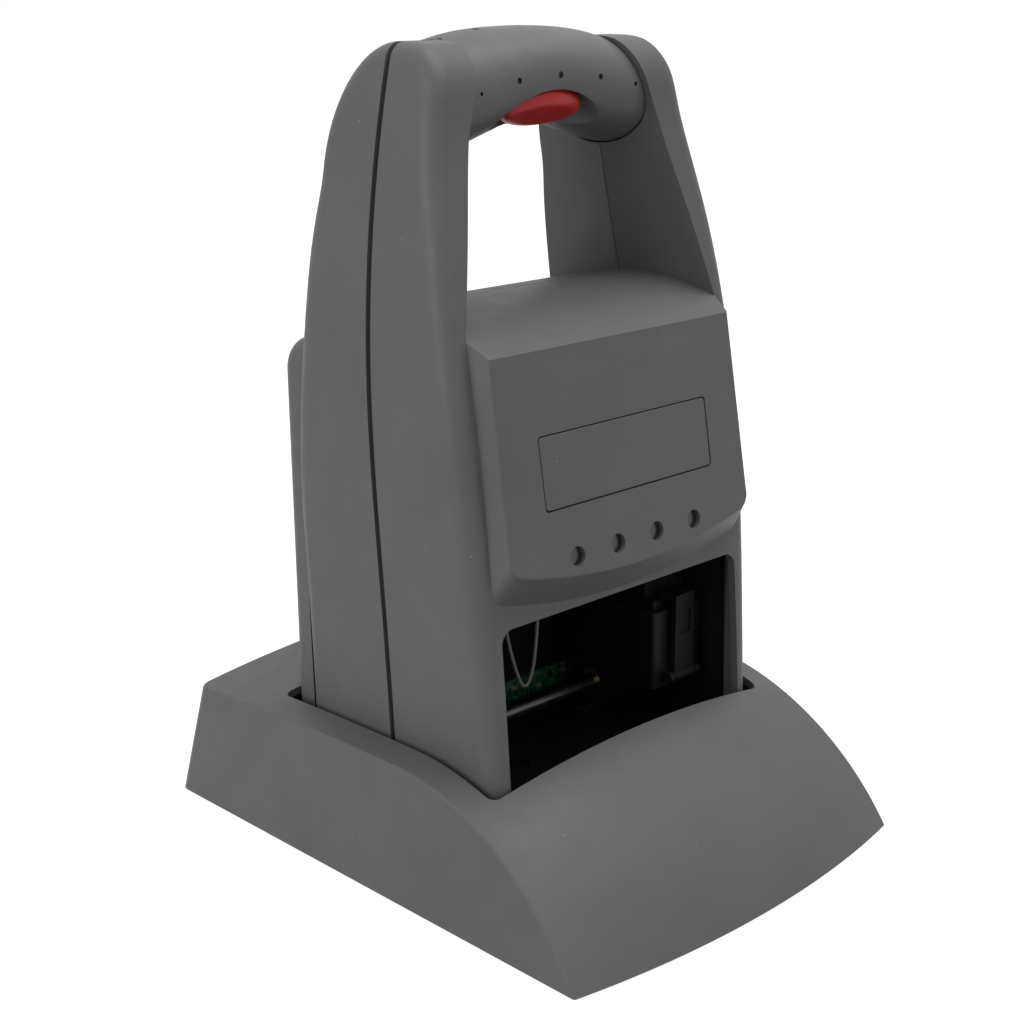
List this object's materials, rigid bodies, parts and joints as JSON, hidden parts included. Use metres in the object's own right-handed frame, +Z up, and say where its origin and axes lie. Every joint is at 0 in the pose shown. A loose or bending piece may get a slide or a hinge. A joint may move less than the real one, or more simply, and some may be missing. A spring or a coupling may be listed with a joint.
{
  "type": "handheld inkjet printer in docking base",
  "caption": "Handheld inkjet printer with a bowed grip, red trigger, wide control key and a print carriage in an open front window, standing in a low crowned docking base",
  "frame": {"origin": "On the floor, in the middle of the docking base's footprint (centre of the bounding box in X and Y, lowest point in Z)", "axes": "+Z up, -Y towards the control panel and the front of the base, +X to the right seen from the front"},
  "size_m": [0.1428, 0.187, 0.2425],
  "materials": {
    "housing_charcoal": "fine-textured dark charcoal moulded plastic",
    "inner_black": "black moulded plastic",
    "rubber_black": "soft black rubber",
    "screw_steel": "zinc-plated steel",
    "board_green": "dark green circuit board",
    "contact_brass": "gilt brass",
    "core_aluminium": "plain cast aluminium",
    "trigger_red": "saturated red, satin to gloss",
    "spring_steel": "drawn spring wire",
    "lens_dark": "unlit smoked lens",
    "chassis_black": "black-coated sheet steel",
    "rod_steel": "ground steel rod",
    "motor_steel": "plated motor can",
    "cable_grey": "pale grey cable sheath",
    "cartridge_black": "black cartridge body"
  },
  "bodies": {
    "dock": {"dock_shell": "housing_charcoal", "dock_pocket": "inner_black", "dock_bottom_cover": "housing_charcoal", "dock_feet": "rubber_black", "dock_screws": "screw_steel", "dock_board": "board_green", "dock_contact_block": "inner_black", "dock_contact_pins": "contact_brass", "dock_power_socket": "inner_black", "nozzle_cap": "rubber_black"},
    "printer": {"front_shell": "housing_charcoal", "rear_shell": "housing_charcoal", "seam_gasket": "rubber_black", "grip_front": "housing_charcoal", "grip_rear": "housing_charcoal", "handle_core": "core_aluminium", "shell_screws": "screw_steel", "trigger_spring": "spring_steel", "trigger_switch": "inner_black", "led_lenses": "lens_dark", "panel_board": "board_green", "panel_board_parts": "inner_black", "panel_board_screws": "screw_steel", "base_plate": "inner_black", "base_plate_screws": "screw_steel", "printer_contacts": "contact_brass", "chassis": "chassis_black", "guide_rod": "rod_steel", "rear_rail": "rod_steel", "strip_board": "board_green", "main_board": "board_green", "main_board_chips": "inner_black", "main_board_screws": "screw_steel", "drive_motor": "motor_steel", "drive_belt": "rubber_black", "flex_cable": "cable_grey", "battery_contacts": "contact_brass"},
    "battery": {"battery_pack": "housing_charcoal", "battery_terminals": "contact_brass"},
    "key": {"control_key": "housing_charcoal"},
    "trigger_body": {"trigger": "trigger_red"},
    "carriage_body": {"carriage": "inner_black", "carriage_bushings": "contact_brass", "belt_clamp": "inner_black", "ink_cartridge": "cartridge_black", "nozzle_plate": "contact_brass"},
    "latch": {"cartridge_latch": "inner_black"},
    "drive_pulley_body": {"drive_pulley": "contact_brass"},
    "idler_pulley_body": {"idler_pulley": "inner_black"}
  },
  "joints": [
    {"name": "printer_lift", "type": "slide", "parent": "dock", "child": "printer", "axis": [0, 0, 1], "range_m": [0, 0.035]},
    {"name": "battery_slide", "type": "slide", "parent": "printer", "child": "battery", "axis": [0, 0, 1], "range_m": [0, 0.03]},
    {"name": "trigger_squeeze", "type": "slide", "parent": "printer", "child": "trigger_body", "axis": [0, 0.5664, 0.8241], "range_m": [0, 0.003], "stiffness_N_per_m": 900, "springref_m": -0.001, "deforming": ["trigger_spring"]},
    {"name": "key_press", "type": "slide", "parent": "printer", "child": "key", "axis": [0, 0.9867, -0.1623], "range_m": [0, 0.0008], "stiffness_N_per_m": 1500, "springref_m": -0.0005},
    {"name": "carriage_slide", "type": "slide", "parent": "printer", "child": "carriage_body", "axis": [-1, 0, 0], "range_m": [0, 0.0785]},
    {"name": "drive_pulley_spin", "type": "hinge", "parent": "printer", "child": "drive_pulley_body", "pos_m": [-0.0456, 0.0175, 0.068], "axis": [0, 1, 0], "range_deg": [-5, 1015]},
    {"name": "idler_pulley_spin", "type": "hinge", "parent": "printer", "child": "idler_pulley_body", "pos_m": [0.0456, 0.0175, 0.068], "axis": [0, 1, 0], "range_deg": [-5, 1015]},
    {"name": "cartridge_latch_hinge", "type": "hinge", "parent": "carriage_body", "child": "latch", "pos_m": [0.03925, -0.0277, 0.044], "axis": [1, 0, 0], "range_deg": [0, 60]}
  ],
  "couplings": [
    {"joint": "drive_pulley_spin", "follows": "carriage_slide", "rad_per_m": 224.72},
    {"joint": "idler_pulley_spin", "follows": "carriage_slide", "rad_per_m": 224.72}
  ]
}
